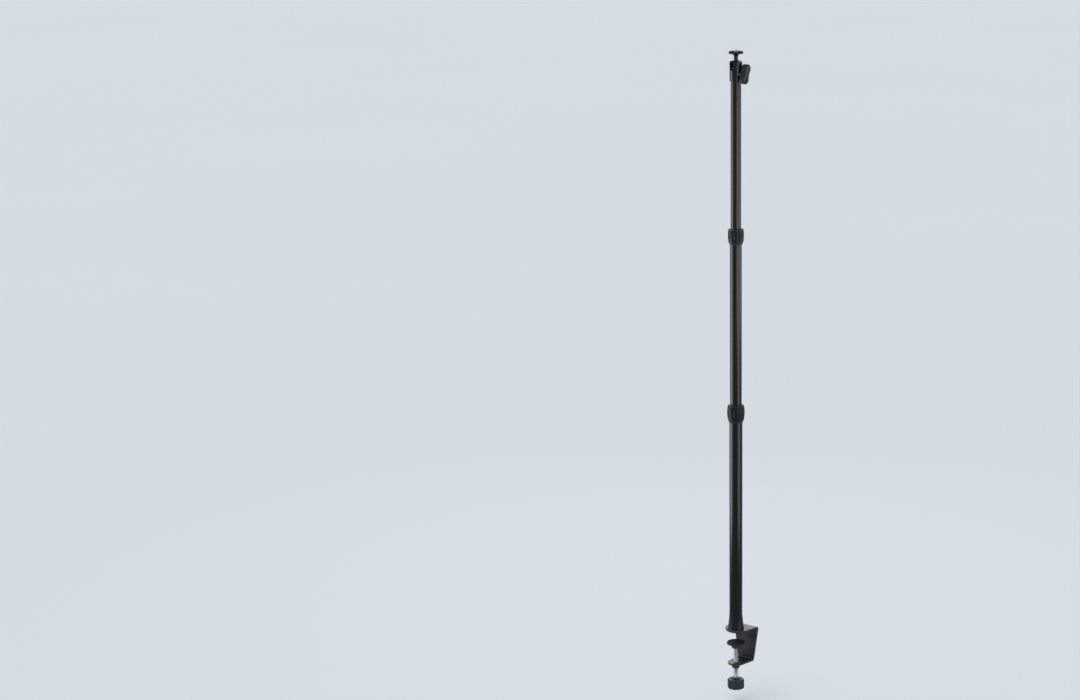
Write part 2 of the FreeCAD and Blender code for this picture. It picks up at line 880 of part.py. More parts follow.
@node
def head_ring():
    lip_height = ring_lip_height()
    lip_radius = (lip_height + seat_lip_height) * tilt_slope + stem_sweep
    middle_height = (seat_bottom_above_ball + lip_height) / 2
    middle_radius = math.sqrt(seat_radius ** 2 - middle_height ** 2)
    bottom_radius = math.sqrt(seat_radius ** 2 - seat_bottom_above_ball ** 2)
    shape = turned([
        (bottom_radius, ring_bottom),
        (ring_radius, ring_bottom),
        (ring_radius, flange_bottom),
        (head_radius, flange_bottom),
        (head_radius, head_top - head_edge_round),
        (head_radius - head_edge_round, head_top),
        (ring_mouth_radius, head_top),
        (lip_radius, ball_z + lip_height + seat_lip_height),
        (lip_radius, ball_z + lip_height),
        (middle_radius, ball_z + middle_height, "arc"),
    ])
    return shape.cut(drop_notch())


@node
def pressure_cup():
    cup_top = ball_z - notch_width / 2 - cup_below_notch
    shape = cylinder(cup_radius, cavity_floor, cup_top)
    shape = shape.cut(Part.makeSphere(seat_radius, Vector(0, 0, ball_z)))
    groove_start = cavity_radius - cup_groove_depth
    return shape.cut(cylinder_x(cup_groove_radius, groove_start, cavity_radius + overrun, lock_screw_z))


@node
def head_lock_screw():
    tip = cavity_radius - cup_groove_depth + lock_screw_tip_inset
    root = lock_screw_radius - lock_screw_thread_depth
    end = wing_inner + wing_screw_depth
    profile = [(0, end), (0, tip), (lock_screw_tip_radius, tip)]
    profile += threads(lock_screw_radius, lock_screw_thread_depth, lock_screw_pitch,
                       tip + root - lock_screw_tip_radius, end)
    return turned_x(profile, lock_screw_z)


def wing_outline():
    """The wing's outline as (y, z): two round lobes joined by a hollow waist."""
    top = wing_length / 2
    lobe = top - wing_lobe_radius
    waist = wing_lobe_radius - wing_waist_inset
    reach = (lobe ** 2 - wing_waist_inset ** 2) / (2 * wing_waist_inset) + wing_lobe_radius
    span = math.hypot(reach, lobe)
    touch_y = wing_lobe_radius * reach / span
    touch_z = lobe - wing_lobe_radius * lobe / span
    return [
        (touch_y, touch_z),
        (0, top, "arc"),
        (-touch_y, touch_z),
        (-waist, 0, "arc"),
        (-touch_y, -touch_z),
        (0, -top, "arc"),
        (touch_y, -touch_z),
        (waist, 0, "arc"),
    ]


@node
def head_lock_knob():
    edges = profile_edges(wing_outline(), lambda point: Vector(wing_inner, point[0], point[1]))
    wing = Part.Face(Part.Wire(edges)).extrude(Vector(wing_thickness, 0, 0))
    faces = (wing_inner, wing_outer)
    rim = [edge for edge in wing.Edges if min(abs(edge.CenterOfMass.x - face) for face in faces) < SAME_POINT]
    wing = wing.makeFillet(wing_edge_round, rim)
    wing.rotate(Vector(0, 0, 0), X_AXIS, wing_turn)
    wing.translate(Vector(0, 0, lock_screw_z))
    shape = wing.fuse(cylinder_x(wing_hub_radius, wing_hub_start, wing_inner + overrun, lock_screw_z))
    shape = shape.cut(cylinder_x(lock_screw_radius, 0, wing_inner + wing_screw_depth, lock_screw_z))
    recess = cylinder_x(wing_cap_radius, wing_outer - wing_cap_thickness, wing_outer + overrun, lock_screw_z)
    return shape.cut(recess)


@node
def head_knob_cap():
    start = wing_outer - wing_cap_thickness
    return cylinder_x(wing_cap_radius, start, wing_outer - wing_cap_sink, lock_screw_z)


@node
def head_ball():
    ball = Part.makeSphere(ball_radius, Vector(0, 0, ball_z))
    ball = ball.cut(cylinder(ball_radius, ball_flat_z, ball_z + ball_radius + overrun))
    bore = stem_shank_radius + screw_clearance
    return ball.cut(cylinder(bore, shank_bottom - stem_shank_gap, ball_z + ball_radius))


@node
def ball_stem():
    bend_out, bend_up = trumpet_bend
    shape = turned([
        (0, trumpet_top),
        (0, shank_bottom),
        (stem_shank_radius, shank_bottom),
        (stem_shank_radius, stem_bottom),
        (stem_radius, stem_bottom),
        (stem_radius, stem_top),
        (stem_radius + bend_out, stem_top + bend_up, "arc"),
        (trumpet_radius, platform_bottom),
        (trumpet_radius, trumpet_top),
    ])
    return shape.cut(cylinder(camera_screw_radius, camera_screw_bottom, trumpet_top + overrun))


@node
def camera_platform():
    shape = turned([
        (0, platform_bottom),
        (platform_radius - platform_edge, platform_bottom),
        (platform_radius, platform_bottom + platform_edge),
        (platform_radius, platform_top),
        (0, platform_top),
    ])
    knurl = cylinder(platform_knurl_radius, platform_bottom - overrun, platform_top + overrun)
    knurl_circle = platform_radius + platform_knurl_radius - platform_knurl_depth
    shape = shape.cut(copies(knurl, around(platform_knurls, knurl_circle)))
    shape = shape.cut(cylinder(trumpet_radius, platform_bottom - overrun, trumpet_top))
    return shape.cut(cylinder(camera_screw_washer_radius, trumpet_top, platform_top + overrun))


@node
def platform_pad():
    bore = camera_screw_washer_radius + platform_pad_bore_gap
    return pipe(platform_radius - platform_pad_inset, bore, platform_top, pad_top)


@node
def camera_screw():
    profile = [(0, camera_screw_top), (0, camera_screw_bottom)]
    profile += threads(camera_screw_radius, camera_screw_thread_depth, camera_screw_pitch,
                       camera_screw_bottom, trumpet_top)
    profile += [
        (camera_screw_washer_radius, trumpet_top),
        (camera_screw_washer_radius, platform_top),
        (camera_screw_radius, platform_top),
        (camera_screw_radius, camera_screw_top - camera_screw_chamfer),
        (camera_screw_radius - camera_screw_chamfer, camera_screw_top),
    ]
    return turned(profile)


def main():
    os.makedirs("parts", exist_ok=True)
    for name, make in NODES.items():
        shape = make()
        if not shape.isValid() or not shape.Solids:
            raise ValueError(name + " is not a valid solid")
        print("%-20s %d solid(s) %10.2f mm3" % (name, len(shape.Solids), shape.Volume))
        Part.makeCompound(shape.Solids).exportStep("parts/" + name + ".step")
    print("height above the clamped edge %.2f mm, lowest point %.2f mm" % (pad_top, knob_bottom))


main()
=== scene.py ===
import math
from collections import namedtuple

import bpy
from mathutils import Matrix, Vector


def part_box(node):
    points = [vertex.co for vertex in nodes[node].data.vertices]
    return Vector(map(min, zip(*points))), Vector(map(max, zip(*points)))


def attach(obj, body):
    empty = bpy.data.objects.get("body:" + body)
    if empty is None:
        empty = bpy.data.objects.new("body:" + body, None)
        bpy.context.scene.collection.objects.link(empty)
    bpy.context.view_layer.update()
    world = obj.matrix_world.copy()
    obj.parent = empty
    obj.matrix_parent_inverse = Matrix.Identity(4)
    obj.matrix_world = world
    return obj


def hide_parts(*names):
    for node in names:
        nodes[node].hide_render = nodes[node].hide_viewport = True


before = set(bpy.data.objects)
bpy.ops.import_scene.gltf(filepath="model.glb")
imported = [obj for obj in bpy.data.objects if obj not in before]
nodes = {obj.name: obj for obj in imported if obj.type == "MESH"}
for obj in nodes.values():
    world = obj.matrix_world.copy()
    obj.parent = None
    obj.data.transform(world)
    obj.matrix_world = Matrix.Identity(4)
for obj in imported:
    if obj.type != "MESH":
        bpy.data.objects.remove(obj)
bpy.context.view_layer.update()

# A telescoping pole on a screw clamp, with twist locks, a small ball head and a round platform.
# Metres, in the frame of the CAD model: +Z is up and the origin is where the pole's axis meets the
# face of the upper jaw's pad.
MM = 0.001

# Camera. The photograph's frame is 1080 pixels wide.
sensor_width = 36.0
photo_width = 1080
focal_pixels = 2842.0
view_azimuth = math.radians(40.9)
view_pitch = math.radians(13.368)
view_roll = math.radians(-0.936)
view_reach = 200.0
camera_depth = 5.810
camera_height = 2.0084
pole_offset = 0.4117

# Background. The floor clears the clamp's knob where the jaw is fully open, which is this much lower
# than at rest.
jaw_opens_by = 30 * MM
floor_gap = 0.5 * MM
floor_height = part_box("clamp_knob")[0][2] - jaw_opens_by - floor_gap
floor_reach = 60.0
floor_dark = (0.435, 0.465, 0.49)
floor_light = (0.455, 0.485, 0.51)
floor_roughness = 0.9
floor_specular = 0.1
floor_glow = 0.53
backdrop_colour = (0.66, 0.71, 0.76, 1)
world_light = 0.33

# Soft boxes that stand around the pole: where each one is, its width and height, its power in watts,
# and the height on the pole that it faces. Azimuths and spreads are in degrees.
lamp_spread = 60
soft_boxes = {
    "key": dict(azimuth=92, distance=1.1, height=0.50, size=(0.78, 1.2), power=1.6, aim=0.82),
    "key_front": dict(azimuth=63, distance=1.1, height=0.74, size=(0.45, 0.65), power=0.55, aim=1.0),
    "key_far": dict(azimuth=135, distance=1.1, height=0.74, size=(0.85, 0.65), power=0.9, aim=1.0),
    "rim": dict(azimuth=-52, distance=1.1, height=0.50, size=(1.17, 1.2), power=4.1, aim=0.82),
    "back": dict(azimuth=218, distance=2.6, height=1.25, size=(1.6, 1.1), power=2.6, aim=0.45, spread=80),
}

# The soft light from above, and where it comes from
above_power = 1.2
above_softness = math.radians(50)
above_azimuth = -20
above_distance = 1.0
above_height = 2.4

# Threads, drawn as real helixes. Their sides rise a little more steeply than a plain zigzag, from a
# flat root to a flat crest.
thread_steepness = 1.25
thread_root_drop = 0.12
thread_steps_per_turn = 10
screw_sides = 64

# The clamp's screw. Its ball is drawn up to an angle just short of its top.
clamp_thread_radius = 5.0 * MM
clamp_thread_depth = 0.8 * MM
clamp_thread_pitch = 1.5 * MM
clamp_shank_radius = 4.0 * MM
clamp_neck_radius = 3.6 * MM
clamp_neck_length = 4.0 * MM
clamp_ball_radius = 5.0 * MM
clamp_ball_end = 85
clamp_ball_steps = 16

# The camera's screw
camera_thread_radius = 3.175 * MM
camera_thread_depth = 0.6 * MM
camera_thread_pitch = 1.27 * MM
camera_washer_radius = 5.2 * MM
camera_washer_edge = 0.2 * MM
camera_screw_chamfer = 0.5 * MM
camera_screw_tip_inset = 0.2 * MM

# Grips of the twist locks: the radii of the core, and of the barrel's bottom, middle and top
lower_grip_radii = (16.65 * MM, 16.90 * MM, 18.75 * MM, 17.10 * MM)
upper_grip_radii = (15.15 * MM, 15.80 * MM, 17.00 * MM, 16.10 * MM)
grip_flutes = 10
grip_flute_radius = 4.0 * MM
grip_flute_depth = 1.15 * MM
grip_flute_softness = 0.5 * MM
grip_edge = 0.7 * MM
grip_edge_steps = 6
grip_steps = 28
grip_sides = 240

# The clamp's knob
knob_radius = 18.0 * MM
knob_neck_radius = 10.0 * MM
knob_neck_height = 3.0 * MM
knob_bore = 5.1 * MM
knob_cap_recess = 9.1 * MM
knob_cap_depth = 1.6 * MM
knob_edge = 3.0 * MM
knob_edge_steps = 9
knob_neck_edge = 0.8 * MM
knob_neck_edge_steps = 5
knob_flutes = 8
knob_flute_radius = 5.0 * MM
knob_flute_depth = 2.5 * MM
knob_flute_softness = 1.6 * MM
knob_steps = 8
knob_sides = 240

# The wing knob of the head's lock screw
wing_length = 41.6 * MM
wing_lobe_radius = 9.4 * MM
wing_waist = 8.1 * MM
wing_turn = math.radians(-18)
wing_neck = 1.2 * MM
wing_hub_radius = 6.6 * MM
wing_hub_edge = 0.5 * MM
wing_bore_radius = 3.0 * MM
wing_bore_depth = 6.5 * MM
wing_edge = 1.6 * MM
wing_edge_steps = 15
wing_rim = 1.1 * MM
wing_cap_radius = 4.4 * MM
wing_cap_depth = 1.2 * MM
wing_cap_rim = 5.2 * MM
wing_cap_slope = 0.4 * MM
wing_sides = 480

# The dish in the wing knob's face: how its floor falls away inside the rim, in shares of the rim's
# width and of the dish's depth, and how it rises again at the cap, in shares of that slope's width
wing_dish = 0.7 * MM
wing_dish_run = 2.5 * MM
wing_rim_fall = ((0.5, 0), (1, 0.6), (1.5, 1))
wing_cap_rise = ((1, 1), (0, 0.2), (-1, 0))

# The grooves across the wing's ends, which fade out over the last share of their spread
wing_ribs = 9
wing_rib_spread = math.radians(29)
wing_rib_depth = 0.75 * MM
wing_rib_fade = 0.25

# Grooves in the pads: rings in the round ones and lines in the one under the tongue
groove_pitch = 1.5 * MM
groove_width = 0.7 * MM
groove_floor_width = 0.35 * MM
groove_depth = 0.35 * MM
pad_border = 1.0 * MM
pad_edge = 0.2 * MM
pad_sides = 160
platform_pad_bore = 5.6 * MM
jaw_pad_nose = 26.8 * MM
jaw_pad_tip = 1.5
jaw_pad_steps = 48
jaw_groove_pitch = 2.5 * MM
jaw_groove_width = 1.0 * MM
jaw_groove_slope = 0.25 * MM

# The weld round the nut: a bead whose upper part stays inside the arm
nut_radius = 9.0 * MM
nut_faces = 6
weld_radius = 1.3 * MM
weld_ripples = 40
weld_ripple_depth = 0.18 * MM
weld_below_arm = 0.3 * MM
weld_reach_up = 0.2 * MM
weld_steps = 10
weld_sides = 240

# A surface is shaded smooth across edges that turn less than this.
smooth_angle = math.radians(38)

# Most of a noise's values lie in this range.
noise_range = (0.3, 0.7)


def make_camera():
    """The camera of the photograph. The pole stands to the right of the middle of its view."""
    forward = Vector((-math.sin(view_azimuth), math.cos(view_azimuth), 0))
    right = Vector((math.cos(view_azimuth), math.sin(view_azimuth), 0))
    up = Vector((0, 0, 1))
    place = -forward * camera_depth - right * pole_offset + up * camera_height
    aim = forward * math.cos(view_pitch) - up * math.sin(view_pitch)
    top = forward * math.sin(view_pitch) + up * math.cos(view_pitch)
    turned_right = right * math.cos(view_roll) + top * math.sin(view_roll)
    turned_top = top * math.cos(view_roll) - right * math.sin(view_roll)
    data = bpy.data.cameras.new("camera")
    data.sensor_width = sensor_width
    data.lens = focal_pixels * sensor_width / photo_width
    data.clip_end = view_reach
    camera = bpy.data.objects.new("camera", data)
    axes = Matrix((turned_right, turned_top, -aim)).transposed()
    camera.matrix_world = Matrix.Translation(place) @ axes.to_4x4()
    bpy.context.scene.collection.objects.link(camera)
    bpy.context.scene.camera = camera


def around_pole(azimuth, distance, height):
    """A place at an azimuth about the pole, in degrees: 0 looks along +Y, and 90 along -X."""
    angle = math.radians(azimuth)
    return Vector((math.sin(angle) * distance, -math.cos(angle) * distance, height))


def make_lamp(name, azimuth, distance, height, size, power, aim, spread=lamp_spread):
    """A soft box that stands around the pole and faces it, with a grid that narrows its light."""
    data = bpy.data.lights.new(name, "AREA")
    data.shape = "RECTANGLE"
    data.size, data.size_y = size
    data.energy = power
    data.spread = math.radians(spread)
    lamp = bpy.data.objects.new(name, data)
    lamp.location = around_pole(azimuth, distance, height)
    lamp.rotation_euler = (Vector((0, 0, aim)) - lamp.location).to_track_quat("-Z", "Y").to_euler()
    lamp.visible_camera = False
    bpy.context.scene.collection.objects.link(lamp)


def make_lights():
    """Boxes on both sides whose light runs down the tubes, one behind, and a soft light from above."""
    for name, box in soft_boxes.items():
        make_lamp(name, **box)
    data = bpy.data.lights.new("above", "SUN")
    data.energy = above_power
    data.angle = above_softness
    above = bpy.data.objects.new("above", data)
    source = around_pole(above_azimuth, above_distance, above_height)
    above.rotation_euler = (-source).to_track_quat("-Z", "Y").to_euler()
    bpy.context.scene.collection.objects.link(above)


def seen_directly(tree):
    """1 for what the camera, a shiny surface or glass sees, and 0 for light that falls on matte ones."""
    path = tree.nodes.new("ShaderNodeLightPath")
    glossy = tree.nodes.new("ShaderNodeMath")
    glossy.operation = "MAXIMUM"
    seen = tree.nodes.new("ShaderNodeMath")
    seen.operation = "MAXIMUM"
    tree.links.new(path.outputs["Is Glossy Ray"], glossy.inputs[0])
    tree.links.new(path.outputs["Is Transmission Ray"], glossy.inputs[1])
    tree.links.new(path.outputs["Is Camera Ray"], seen.inputs[0])
    tree.links.new(glossy.outputs[0], seen.inputs[1])
    return seen.outputs[0]


def make_world():
    """A soft white light all round, which the camera and shiny surfaces see as the pale backdrop."""
    world = bpy.data.worlds.new("world")
    world.use_nodes = True
    bpy.context.scene.world = world
    tree = world.node_tree
    tree.nodes.clear()
    light = tree.nodes.new("ShaderNodeBackground")
    light.inputs["Color"].default_value = (1, 1, 1, 1)
    light.inputs["Strength"].default_value = world_light
    backdrop = tree.nodes.new("ShaderNodeBackground")
    backdrop.inputs["Color"].default_value = backdrop_colour
    mix = tree.nodes.new("ShaderNodeMixShader")
    output = tree.nodes.new("ShaderNodeOutputWorld")
    tree.links.new(seen_directly(tree), mix.inputs[0])
    tree.links.new(light.outputs[0], mix.inputs[1])
    tree.links.new(backdrop.outputs[0], mix.inputs[2])
    tree.links.new(mix.outputs[0], output.inputs[0])


class Look:
    """A procedural material. Its patterns lie on the object, in metres."""

    def __init__(self, name, roughness, metallic=0.0, specular=0.5):
        self.material = bpy.data.materials.new(name)
        self.material.use_nodes = True
        self.tree = self.material.node_tree
        self.shader = self.tree.nodes["Principled BSDF"]
        self.shader.inputs["Roughness"].default_value = roughness
        self.shader.inputs["Metallic"].default_value = metallic
        self.shader.inputs["Specular IOR Level"].default_value = specular
        self.coordinates = self.tree.nodes.new("ShaderNodeTexCoord")
        self.normal = None

    def add(self, kind, **values):
        """Add a node, with values for its settings."""
        made = self.tree.nodes.new(kind)
        for name, value in values.items():
            setattr(made, name, value)
        return made

    def link(self, source, target):
        self.tree.links.new(source, target)

    def noise(self, scale, detail=2.0, stretch=(1, 1, 1)):
        """A noise from 0 to 1 with a number of waves to the metre, stretched along an axis."""
        mapping = self.add("ShaderNodeMapping")
        mapping.inputs["Scale"].default_value = stretch
        texture = self.add("ShaderNodeTexNoise")
        texture.inputs["Scale"].default_value = scale
        texture.inputs["Detail"].default_value = detail
        self.link(self.coordinates.outputs["Object"], mapping.inputs["Vector"])
        self.link(mapping.outputs["Vector"], texture.inputs["Vector"])
        return texture.outputs["Fac"]

    def cells(self, scale):
        """Round cells, with a number to the metre: the distance to the nearest one's middle."""
        texture = self.add("ShaderNodeTexVoronoi")
        texture.inputs["Scale"].default_value = scale
        self.link(self.coordinates.outputs["Object"], texture.inputs["Vector"])
        return texture.outputs["Distance"]

    def ranged(self, value, source, target):
        """A value taken from one range to another and kept inside it."""
        made = self.add("ShaderNodeMapRange")
        made.inputs["From Min"].default_value, made.inputs["From Max"].default_value = source
        made.inputs["To Min"].default_value, made.inputs["To Max"].default_value = target
        self.link(value, made.inputs["Value"])
        return made.outputs["Result"]

    def colour(self, value, dark, light, between=(0, 1)):
        """Colour the surface between two colours, as a value goes from one end of a range to the other."""
        mix = self.add("ShaderNodeMix", data_type="RGBA")
        mix.inputs["A"].default_value = (*dark, 1)
        mix.inputs["B"].default_value = (*light, 1)
        self.link(self.ranged(value, between, (0, 1)), mix.inputs["Factor"])
        self.link(mix.outputs["Result"], self.shader.inputs["Base Color"])

    def rough(self, value, low, high):
        """Vary the roughness between two values."""
        self.link(self.ranged(value, noise_range, (low, high)), self.shader.inputs["Roughness"])

    def bump(self, value, depth):
        """Raise the surface by a value times a depth in metres."""
        made = self.add("ShaderNodeBump")
        made.inputs["Strength"].default_value = 1.0
        made.inputs["Distance"].default_value = depth
        self.link(value, made.inputs["Height"])
        if self.normal:
            self.link(self.normal, made.inputs["Normal"])
        self.normal = made.outputs["Normal"]
        self.link(self.normal, self.shader.inputs["Normal"])


def make_anodised(name, dark, light, roughness, specular):
    """Black anodised aluminium: faint lines from drawing or turning and a slow change of tone."""
    look = Look(name, roughness, specular=specular)
    drawn = look.noise(scale=900, detail=3, stretch=(1, 1, 0.012))
    slow = look.noise(scale=14, detail=2, stretch=(1, 1, 0.25))
    look.colour(slow, dark, light, between=(0.35, 0.65))
    look.rough(drawn, low=roughness - 0.04, high=roughness + 0.05)
    look.bump(drawn, depth=0.010 * MM)
    return look.material


def make_powder_coat():
    """Satin black powder coat with a slow change of tone and a fine orange peel."""
    look = Look("powder_coat", roughness=0.36, specular=0.5)
    slow = look.noise(scale=35, detail=4)
    look.colour(slow, (0.013, 0.013, 0.014), (0.018, 0.018, 0.019), between=(0.4, 0.7))
    look.rough(look.noise(scale=260, detail=3), low=0.34, high=0.42)
    look.bump(look.noise(scale=700, detail=2), depth=0.05 * MM)
    look.bump(look.cells(scale=1500), depth=0.018 * MM)
    return look.material


def make_rubber(name, dark, light, roughness, specular):
    """Matte moulded rubber with a fine grain and paler patches where it has been handled."""
    look = Look(name, roughness, specular=specular)
    slow = look.noise(scale=60, detail=4)
    look.colour(slow, dark, light, between=(0.4, 0.68))
    look.rough(slow, low=roughness - 0.08, high=roughness + 0.06)
    look.bump(look.noise(scale=2600, detail=2), depth=0.03 * MM)
    return look.material


def make_plastic(name, dark, light, roughness, specular=0.5):
    """Moulded plastic with a spark-eroded grain."""
    look = Look(name, roughness, specular=specular)
    slow = look.noise(scale=45, detail=3)
    grain = look.noise(scale=3200, detail=1)
    look.colour(slow, dark, light, between=(0.35, 0.65))
    look.rough(grain, low=roughness - 0.06, high=roughness + 0.08)
    look.bump(grain, depth=0.02 * MM)
    return look.material


def make_steel(name, dark, light, roughness, stretch):
    """Bare or plated steel with turning marks round its axis."""
    look = Look(name, roughness, metallic=1.0)
    marks = look.noise(scale=400, detail=3, stretch=stretch)
    slow = look.noise(scale=70, detail=3)
    look.colour(slow, dark, light, between=(0.35, 0.7))
    look.rough(marks, low=roughness - 0.08, high=roughness + 0.1)
    look.bump(marks, depth=0.006 * MM)
    return look.material


# Finishes: each one's darker and lighter colour and its roughness, then the specular level of what
# isn't metal or the stretch of the marks on steel. The nodes that have each finish come after them.
tube_black = make_anodised("tube_black", (0.002, 0.002, 0.0022), (0.004, 0.004, 0.0045), 0.20, 0.2)
head_black = make_anodised("head_black", (0.002, 0.002, 0.002), (0.004, 0.004, 0.004), 0.15, 0.22)
powder_coat = make_powder_coat()
grip_rubber = make_rubber("grip_rubber", (0.0025, 0.003, 0.003), (0.0045, 0.0055, 0.0055), 0.42, 0.12)
pad_rubber = make_rubber("pad_rubber", (0.012, 0.012, 0.013), (0.022, 0.022, 0.023), 0.75, 0.3)
collar_plastic = make_plastic("collar_plastic", (0.004, 0.0045, 0.0045), (0.008, 0.0085, 0.009), 0.34, 0.3)
knob_plastic = make_plastic("knob_plastic", (0.010, 0.011, 0.012), (0.018, 0.019, 0.020), 0.45)
wing_plastic = make_plastic("wing_plastic", (0.004, 0.0055, 0.0055), (0.007, 0.0095, 0.0095), 0.45, 0.18)
slide_plastic = make_plastic("slide_plastic", (0.60, 0.59, 0.55), (0.70, 0.69, 0.65), 0.40)
zinc_steel = make_steel("zinc_steel", (0.50, 0.51, 0.53), (0.66, 0.67, 0.69), 0.30, (1, 1, 8))
black_steel = make_steel("black_steel", (0.030, 0.030, 0.032), (0.060, 0.060, 0.064), 0.36, (1, 1, 6))

finishes = {
    tube_black: ("pole_foot", "lower_tube", "middle_tube", "top_tube", "top_tube_cap", "lower_lock_sleeve",
                 "upper_lock_sleeve", "camera_platform"),
    head_black: ("head_housing", "head_ring", "ball_stem", "head_ball"),
    powder_coat: ("clamp_frame", "screw_nut", "pressure_plate", "plate_retainer"),
    collar_plastic: ("lower_lock_collar", "upper_lock_collar", "clamp_knob_cap"),
    wing_plastic: ("head_lock_knob", "head_knob_cap"),
    slide_plastic: ("middle_tube_guide", "top_tube_guide", "lower_lock_collet", "upper_lock_collet",
                    "pressure_cup"),
    zinc_steel: ("clamp_knob_pin", "head_stud"),
    black_steel: ("foot_bolts", "foot_grub_screw", "head_lock_screw"),
}


def paint_nodes():
    """Give every CAD node its finish."""
    for material, names in finishes.items():
        for name in names:
            mesh = nodes[name].data
            mesh.materials.clear()
            mesh.materials.append(material)


def add_piece(name, points, faces, material, body, replaced=()):
    """A mesh piece that rides on a body and stands for the CAD nodes that it replaces."""
    mesh = bpy.data.meshes.new(name)
    mesh.from_pydata(points, [], faces)
    mesh.shade_smooth()
    mesh.set_sharp_from_angle(angle=smooth_angle)
    mesh.materials.append(material)
    piece = bpy.data.objects.new(name, mesh)
    bpy.context.scene.collection.objects.link(piece)
    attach(piece, body)
    if replaced:
        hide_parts(*replaced)


def join_rings(rings, sides, closed=False):
    """Faces between rings of points that follow one another, each with as many points.

    Open rings are capped at both ends, and closed ones join the last ring to the first.
    """
    faces = []
    for ring in range(rings if closed else rings - 1):
        here = ring * sides
        above = (ring + 1) % rings * sides
        for side in range(sides):
            after = (side + 1) % sides
            faces.append((here + side, here + after, above + after, above + side))
    if not closed:
        faces.append(tuple(reversed(range(sides))))
        faces.append(tuple(range((rings - 1) * sides, rings * sides)))
    return faces


def lathe(profile, sides, shape=None, closed=False):
    """Points and faces of a profile of (radius, height) turned about the pole's axis.

    shape(radius, height, angle) changes the radius round the axis. An open profile is capped at
    both its ends, and a closed one joins its last ring to its first.
    """
    points = []
    for radius, height in profile:
        for side in range(sides):
            angle = 2 * math.pi * side / sides
            reach = shape(radius, height, angle) if shape else radius
            points.append((reach * math.cos(angle), reach * math.sin(angle), height))
    return points, join_rings(len(profile), sides, closed)


def span(start, end, count):
    """Evenly spaced values from start to end, with both ends."""
    return [start + (end - start) * step / (count - 1) for step in range(count)]


def arc(centre, radius, start, end, count):
    """Points of an arc as (radius, height), between two angles in degrees."""
    points = []
    for degrees in span(start, end, count):
        angle = math.radians(degrees)
        points.append((centre[0] + radius * math.cos(angle), centre[1] + radius * math.sin(angle)))
    return points


def soft_minimum(first, second, softness):
    """The smaller of two values, with the step from one to the other rounded off."""
    overlap = max(softness - abs(first - second), 0) / softness
    return min(first, second) - overlap ** 2 * softness / 4


def flute(count, centre, radius, angle):
    """How far out a round flute leaves the surface at an angle, or None away from the flutes."""
    pitch = 2 * math.pi / count
    offset = (angle + pitch / 2) % pitch - pitch / 2
    beside = centre * math.sin(offset)
    if abs(beside) >= radius:
        return None
    return centre * math.cos(offset) - math.sqrt(radius ** 2 - beside ** 2)


def thread_rings(root, pitch, bottom, top):
    """Profile rings for a threaded length, fine enough to draw its ridges."""
    count = int((top - bottom) / pitch * thread_steps_per_turn) + 1
    return [(root, height) for height in span(bottom, top, count)]


def threaded(root, depth, pitch, bottom, top):
    """A shape with a right-hand thread on its root radius, faded out at the thread's two ends."""
    def shape(radius, height, angle):
        if radius != root:
            return radius
        turn = (height / pitch - angle / (2 * math.pi)) % 1
        zigzag = 1 - abs(2 * turn - 1)
        ridge = min(max(thread_steepness * zigzag - thread_root_drop, 0), 1)
        fade = min((height - bottom) / pitch, (top - height) / pitch, 1)
        return root + depth * ridge * max(fade, 0)

    return shape


def make_clamp_screw():
    """The clamp's screw: a shank in the knob, a long thread, a neck and a ball."""
    bottom, top = (corner[2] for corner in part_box("clamp_screw"))
    thread_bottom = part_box("clamp_knob")[1][2]
    thread_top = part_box("plate_retainer")[1][2] - clamp_neck_length
    root = clamp_thread_radius - clamp_thread_depth
    ball_z = top - clamp_ball_radius
    neck_angle = math.degrees(math.acos(clamp_neck_radius / clamp_ball_radius))
    profile = [(clamp_shank_radius, bottom), (clamp_shank_radius, thread_bottom)]
    profile += thread_rings(root, clamp_thread_pitch, thread_bottom, thread_top)
    profile += [(clamp_neck_radius, thread_top)]
    profile += arc((0, ball_z), clamp_ball_radius, -neck_angle, clamp_ball_end, clamp_ball_steps)
    shape = threaded(root, clamp_thread_depth, clamp_thread_pitch, thread_bottom, thread_top)
    points, faces = lathe(profile, screw_sides, shape)
    add_piece("clamp_screw_threaded", points, faces, zinc_steel, "handle", ["clamp_screw"])


def make_camera_screw():
    """The camera's screw: its washer in the platform and its thread above the pad."""
    bottom, top = (corner[2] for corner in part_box("camera_screw"))
    washer_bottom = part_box("ball_stem")[1][2]
    washer_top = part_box("camera_platform")[1][2]
    washer_edge = washer_top - camera_washer_edge
    root = camera_thread_radius - camera_thread_depth
    profile = [(root, bottom), (root, washer_bottom)]
    profile += [(camera_washer_radius, washer_bottom), (camera_washer_radius, washer_edge)]
    profile += [(camera_washer_radius - camera_washer_edge, washer_top)]
    profile += thread_rings(root, camera_thread_pitch, washer_top, top - camera_screw_chamfer)
    profile += [(root - camera_screw_tip_inset, top)]
    shape = threaded(root, camera_thread_depth, camera_thread_pitch, washer_top, top)
    points, faces = lathe(profile, screw_sides, shape)
    add_piece("camera_screw_threaded", points, faces, zinc_steel, "platform",
              ["camera_screw"])


